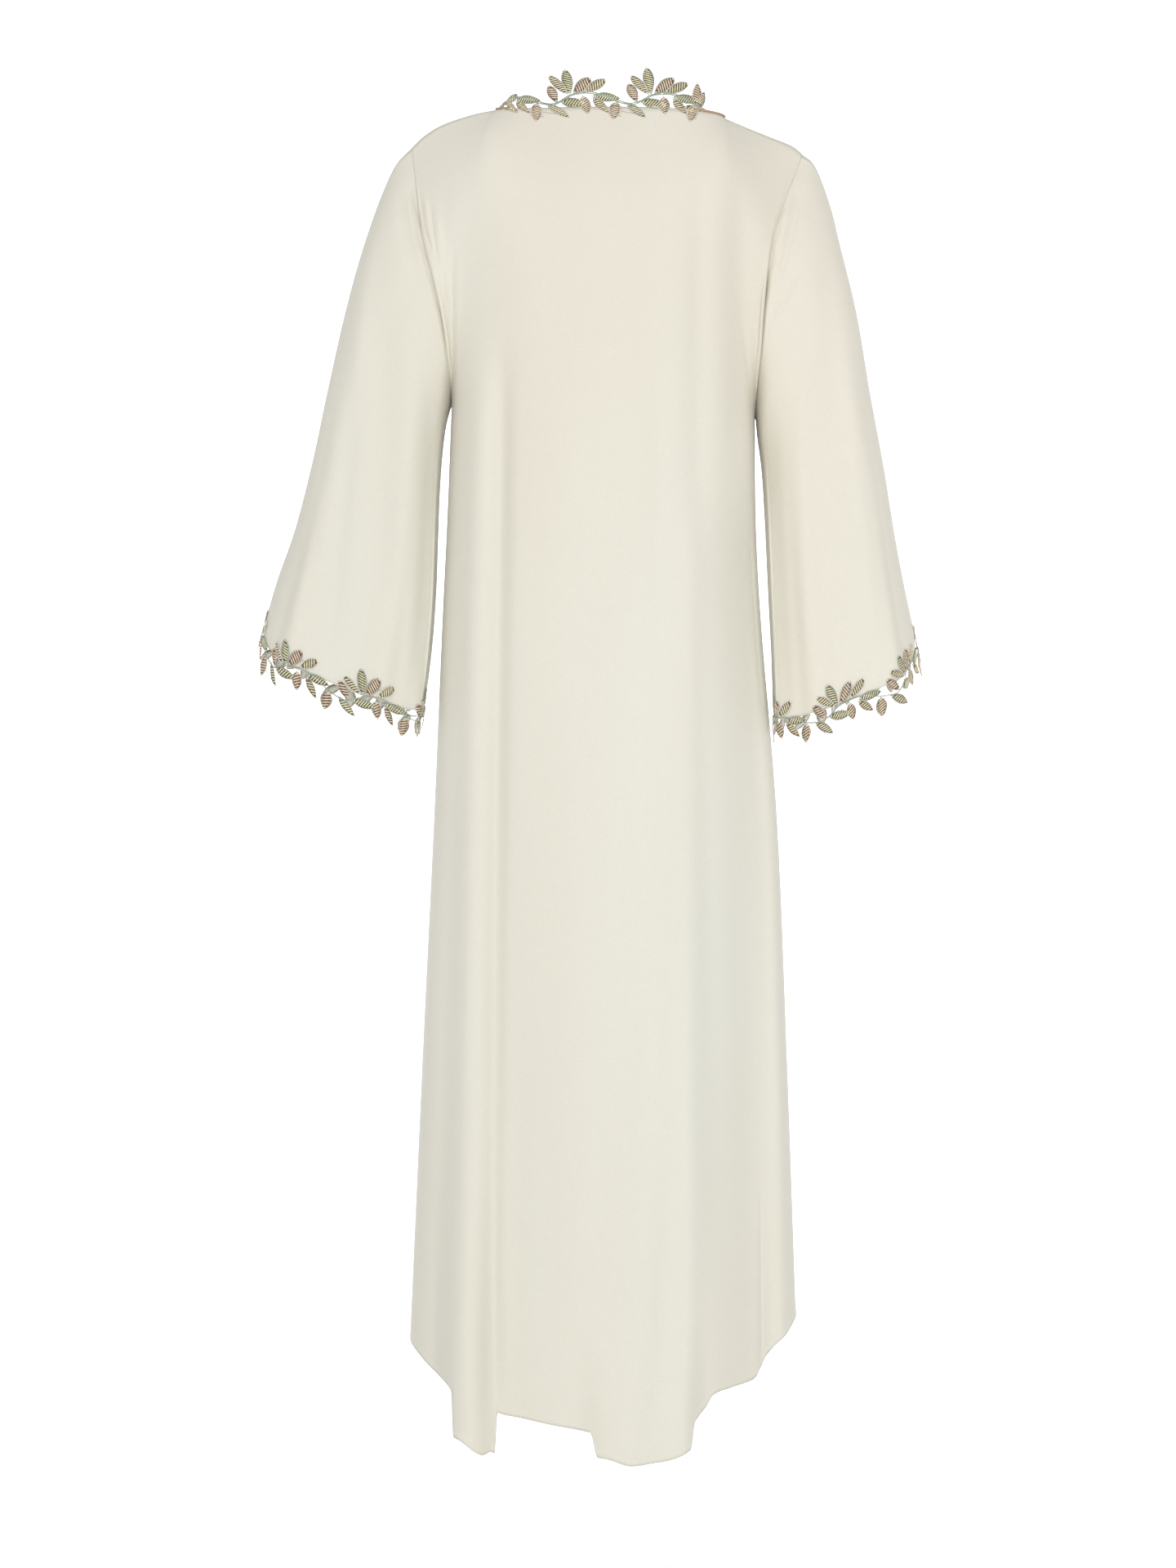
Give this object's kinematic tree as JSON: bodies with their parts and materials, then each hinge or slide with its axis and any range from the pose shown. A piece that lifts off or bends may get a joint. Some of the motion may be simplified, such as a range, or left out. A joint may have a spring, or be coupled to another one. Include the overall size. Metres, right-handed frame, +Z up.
{
  "type": "maxi dress",
  "caption": "Full-length kaftan-cut dress in cream crepe, worn and hollow, with long bell sleeves and a leaf-vine lace trim round the neck and cuffs.",
  "frame": {"origin": "midway between the shoulders, level with the side of the neck", "axes": "+Z up, -Y the wearer's front, +X the wearer's left; the hem hangs at about Z = -1.4 m"},
  "size_m": [0.7133, 0.3336, 1.4438],
  "materials": {
    "crepe": "cream crepe, matt with a faint sheen",
    "lace": "embroidered lace in sage, dusty pink and gold thread"
  },
  "bodies": {
    "root": {"back": "crepe", "front": "crepe", "sleeve_left": "crepe", "sleeve_right": "crepe", "neck_trim_back": "lace", "neck_trim_front": "lace", "cuff_trim_left": "lace", "cuff_trim_right": "lace"}
  },
  "joints": []
}
